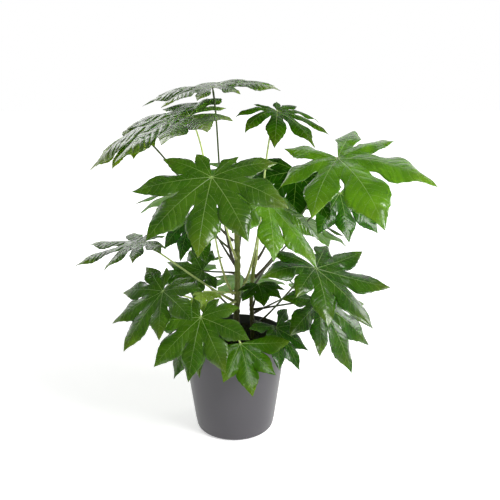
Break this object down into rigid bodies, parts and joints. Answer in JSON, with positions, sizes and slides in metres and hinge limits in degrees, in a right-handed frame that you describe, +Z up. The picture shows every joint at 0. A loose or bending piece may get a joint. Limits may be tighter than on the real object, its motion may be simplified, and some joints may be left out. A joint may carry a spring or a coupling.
{
  "type": "fatsia japonica in a pot",
  "caption": "Glossy-leaved fatsia japonica with large lobed leaves on long petioles, growing from woody stems in a plain tapered grey pot filled with dark soil.",
  "frame": {"origin": "centre of the pot's flat base", "axes": "+Z up along the pot's axis, and the front of the plant, as pictured, faces -Y"},
  "size_m": [0.6926, 0.5831, 0.733],
  "materials": {
    "leaf": "satin",
    "young_leaf": "satin",
    "stem": "matte",
    "pot": "satin",
    "soil": "matte"
  },
  "bodies": {
    "root": {"pot": "pot", "soil": "soil", "stem_main": "stem", "stem_side": "stem", "leaf_top": "leaf", "leaf_upper_left": "leaf", "leaf_far_left": "leaf", "leaf_upper_right": "leaf", "leaf_right": "leaf", "leaf_front": "leaf", "leaf_inner_right": "leaf", "leaf_inner_left": "leaf", "leaf_mid_right": "leaf", "leaf_behind_right": "leaf", "leaf_low_right": "leaf", "leaf_under_right": "leaf", "leaf_left": "leaf", "leaf_low_left": "leaf", "leaf_mid_left": "leaf", "leaf_young": "young_leaf", "leaf_centre_right": "leaf", "leaf_low_front": "leaf", "leaf_low_front_left": "leaf", "leaf_over_pot": "leaf", "leaf_over_pot_right": "leaf", "leaf_back_left": "leaf", "leaf_back": "leaf", "leaf_back_right": "leaf", "leaf_low_back_left": "leaf", "leaf_low_back": "leaf", "leaf_low_back_right": "leaf"}
  },
  "joints": []
}
